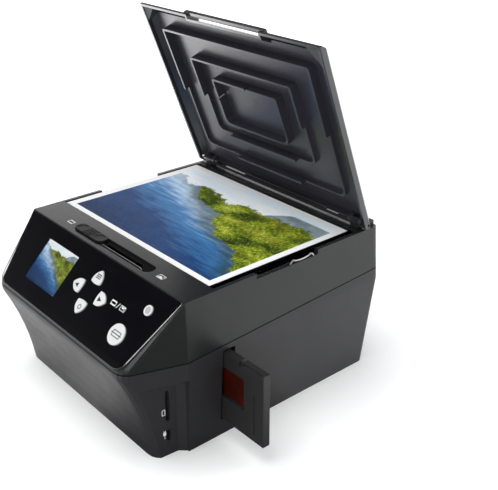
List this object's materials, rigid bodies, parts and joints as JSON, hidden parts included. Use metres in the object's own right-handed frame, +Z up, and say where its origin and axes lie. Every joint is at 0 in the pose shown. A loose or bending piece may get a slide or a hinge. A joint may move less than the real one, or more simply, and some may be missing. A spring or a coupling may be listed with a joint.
{
  "type": "film negative scanner",
  "caption": "Desktop scanner for prints and film strips: hinged ribbed lid, glass photo bed, sloped display panel with keys, mode slider, sliding film holder and side ports.",
  "frame": {"origin": "middle of the flat base, on the table", "axes": "+X to the right seen from the front, +Y to the rear, +Z up"},
  "size_m": [0.2327, 0.2199, 0.259],
  "materials": {
    "casing": "satin moulded",
    "casing_upper": "satin moulded",
    "panel": "high gloss",
    "window": "clear",
    "display": "printed glass",
    "frame_grey": "satin moulded",
    "key_white": "satin",
    "key_grey": "satin",
    "board_green": "solder mask",
    "chip_black": "moulded",
    "ribbon": "film",
    "knob": "satin moulded",
    "link": "moulded",
    "glass": "clear float glass",
    "print": "glossy photo paper",
    "lid": "semi-gloss moulded",
    "liner": "semi-gloss moulded",
    "bumper": "soft",
    "steel": "ground",
    "spring_steel": "rolled",
    "brass": "turned",
    "mirror": "front silvered",
    "optic": "polished",
    "holder": "fine matt",
    "film": "glossy film",
    "light_white": "matt white",
    "diffuser": "opal",
    "led": "clear resin",
    "rubber": "matt"
  },
  "bodies": {
    "housing": {"lower_casing": "casing", "upper_casing": "casing_upper", "panel_inlay": "panel", "lcd_window": "window", "lcd_module": "display", "lcd_frame": "frame_grey", "button_board": "board_green", "button_switches": "chip_black", "lcd_ribbon": "ribbon", "bed_glass": "glass", "photo_print": "print", "film_guide": "frame_grey", "holder_springs": "spring_steel", "light_box": "light_white", "light_diffuser": "diffuser", "light_board": "board_green", "light_leds": "led", "carriage_rods": "steel", "camera_bracket": "frame_grey", "lens_barrel": "chip_black", "lens_glass": "optic", "sensor_board": "board_green", "image_sensor": "chip_black", "photo_light_boards": "light_white", "photo_light_leds": "led", "main_board": "board_green", "main_chips": "chip_black", "port_board": "board_green", "card_socket": "steel", "usb_socket": "steel", "case_screws": "steel", "rubber_feet": "rubber"},
    "lid": {"lid_shell": "lid", "lid_liner": "liner", "lid_bumpers": "bumper", "hinge_pins": "steel"},
    "mode_carriage": {"mode_slider": "knob", "slider_link": "link", "mirror_carriage": "frame_grey", "carriage_bushes": "brass", "fold_mirror": "mirror", "close_up_lens": "optic"},
    "film_holder": {"holder_front": "holder", "holder_rear": "holder", "film_strip": "film"},
    "left_key": {"key_left": "key_white"},
    "right_key": {"key_right": "key_white"},
    "up_key": {"key_up": "key_white"},
    "down_key": {"key_down": "key_white"},
    "scan_key": {"scan_button": "key_white"},
    "power_key": {"power_button": "key_grey", "power_ring": "key_white"}
  },
  "joints": [
    {"name": "lid_hinge", "type": "hinge", "parent": "housing", "child": "lid", "pos_m": [0, 0.0885, 0.1203], "axis": [1, 0, 0], "range_deg": [0, 68.9]},
    {"name": "mode_slide", "type": "slide", "parent": "housing", "child": "mode_carriage", "axis": [1, 0, 0], "range_m": [0, 0.0565]},
    {"name": "film_slide", "type": "slide", "parent": "housing", "child": "film_holder", "axis": [1, 0, 0], "range_m": [-0.114, 0.038]},
    {"name": "left_press", "type": "slide", "parent": "housing", "child": "left_key", "axis": [0, 0.6964, -0.7176], "range_m": [0, 0.0008], "stiffness_N_per_m": 800, "springref_m": -0.0006},
    {"name": "right_press", "type": "slide", "parent": "housing", "child": "right_key", "axis": [0, 0.6964, -0.7176], "range_m": [0, 0.0008], "stiffness_N_per_m": 800, "springref_m": -0.0006},
    {"name": "up_press", "type": "slide", "parent": "housing", "child": "up_key", "axis": [0, 0.6964, -0.7176], "range_m": [0, 0.0008], "stiffness_N_per_m": 800, "springref_m": -0.0006},
    {"name": "down_press", "type": "slide", "parent": "housing", "child": "down_key", "axis": [0, 0.6964, -0.7176], "range_m": [0, 0.0008], "stiffness_N_per_m": 800, "springref_m": -0.0006},
    {"name": "scan_press", "type": "slide", "parent": "housing", "child": "scan_key", "axis": [0, 0.6964, -0.7176], "range_m": [0, 0.0008], "stiffness_N_per_m": 800, "springref_m": -0.0006},
    {"name": "power_press", "type": "slide", "parent": "housing", "child": "power_key", "axis": [0, 0.6964, -0.7176], "range_m": [0, 0.0008], "stiffness_N_per_m": 800, "springref_m": -0.0006}
  ]
}
